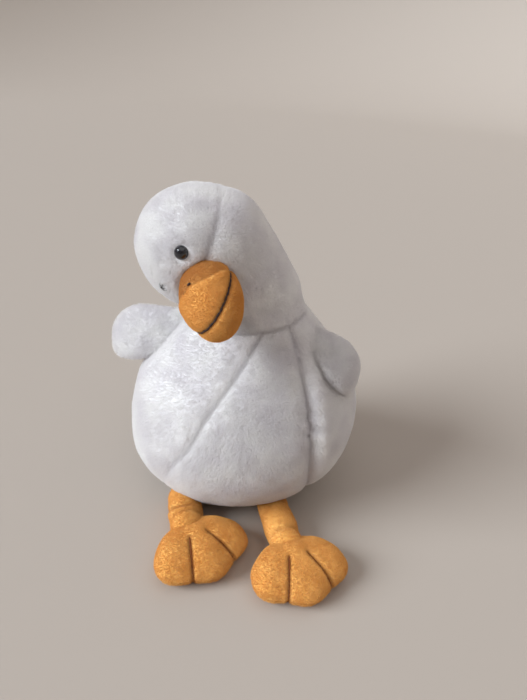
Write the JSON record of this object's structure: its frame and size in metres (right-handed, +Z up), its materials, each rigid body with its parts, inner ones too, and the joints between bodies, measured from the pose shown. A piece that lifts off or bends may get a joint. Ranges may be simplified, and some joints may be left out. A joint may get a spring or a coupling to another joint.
{
  "type": "plush bird",
  "caption": "Seated stuffed plush bird with a pear-shaped bean-weighted body, bendable neck, stuffed beak, stub wings and floppy legs with three-toed feet.",
  "frame": {"origin": "centre of the flat base panel that the toy sits on", "axes": "+Z up, front of the toy along -Y, its left side along +X"},
  "size_m": [0.1705, 0.2008, 0.214],
  "materials": {
    "white_plush": "short dense plush pile",
    "orange_fleece": "short brushed fleece",
    "polyester_fill": "loose white fibre",
    "pouch_cloth": "plain calico",
    "pellet_plastic": "loose plastic pellets",
    "eye_plastic": "polished black",
    "washer_plastic": "moulded, satin",
    "brown_thread": "twisted thread",
    "white_thread": "twisted thread",
    "orange_thread": "twisted thread"
  },
  "bodies": {
    "torso": {"belly_panel": "white_plush", "side_panel_left": "white_plush", "side_panel_right": "white_plush", "base_panel": "white_plush", "torso_stuffing": "polyester_fill", "pellet_pouch": "pouch_cloth", "pellets": "pellet_plastic", "tail": "white_plush", "closing_stitches": "white_thread"},
    "neck": {"neck_panel_left": "white_plush", "neck_panel_right": "white_plush", "neck_stuffing": "polyester_fill"},
    "head": {"crown_panel": "white_plush", "throat_panel": "white_plush", "head_stuffing": "polyester_fill", "eye_left": "eye_plastic", "eye_right": "eye_plastic", "eye_washer_left": "washer_plastic", "eye_washer_right": "washer_plastic", "beak_upper": "orange_fleece", "beak_lower": "orange_fleece", "beak_stuffing": "polyester_fill", "mouth_stitch": "brown_thread", "nostril_stitches": "brown_thread"},
    "wing_left": {"wing_outer_left": "white_plush", "wing_inner_left": "white_plush", "wing_stuffing_left": "polyester_fill"},
    "leg_left": {"leg_tube_left": "orange_fleece", "leg_stuffing_left": "polyester_fill"},
    "foot_left": {"foot_top_left": "orange_fleece", "foot_sole_left": "orange_fleece", "foot_stuffing_left": "polyester_fill", "toe_stitches_left": "orange_thread"},
    "wing_right": {"wing_outer_right": "white_plush", "wing_inner_right": "white_plush", "wing_stuffing_right": "polyester_fill"},
    "leg_right": {"leg_tube_right": "orange_fleece", "leg_stuffing_right": "polyester_fill"},
    "foot_right": {"foot_top_right": "orange_fleece", "foot_sole_right": "orange_fleece", "foot_stuffing_right": "polyester_fill", "toe_stitches_right": "orange_thread"}
  },
  "joints": [
    {"name": "neck_lean", "type": "hinge", "parent": "torso", "child": "neck", "pos_m": [0, 0, 0.146], "axis": [0, 1, 0], "range_deg": [-8, 45], "stiffness_Nm_per_rad": 0.3},
    {"name": "head_nod", "type": "hinge", "parent": "neck", "child": "head", "pos_m": [-0.032, -0.01, 0.18], "axis": [0.3872, -0.3061, 0.8697], "range_deg": [-30, 20], "stiffness_Nm_per_rad": 0.2},
    {"name": "wing_flap_left", "type": "hinge", "parent": "torso", "child": "wing_left", "pos_m": [0.05403, -0.0198, 0.12592], "axis": [-0.4291, -0.8942, -0.1276], "range_deg": [0, 60], "stiffness_Nm_per_rad": 0.02},
    {"name": "wing_swing_right", "type": "hinge", "parent": "torso", "child": "wing_right", "pos_m": [-0.05841, 0.01382, 0.11534], "axis": [-0.2361, 0.7664, 0.5974], "range_deg": [0, 40], "stiffness_Nm_per_rad": 0.02},
    {"name": "hip_swing_left", "type": "hinge", "parent": "torso", "child": "leg_left", "pos_m": [0.0215, -0.046, 0.01], "axis": [-1, 0, 0], "range_deg": [-80, 20]},
    {"name": "ankle_flex_left", "type": "hinge", "parent": "leg_left", "child": "foot_left", "pos_m": [0.0295, -0.079, 0.0105], "axis": [-0.9455, -0.3256, 0], "range_deg": [-40, 25]},
    {"name": "hip_swing_right", "type": "hinge", "parent": "torso", "child": "leg_right", "pos_m": [-0.0385, -0.0435, 0.01], "axis": [-1, 0, 0], "range_deg": [-80, 8]},
    {"name": "ankle_flex_right", "type": "hinge", "parent": "leg_right", "child": "foot_right", "pos_m": [-0.0345, -0.0675, 0.0105], "axis": [-0.848, -0.5299, 0], "range_deg": [-40, 25]}
  ]
}
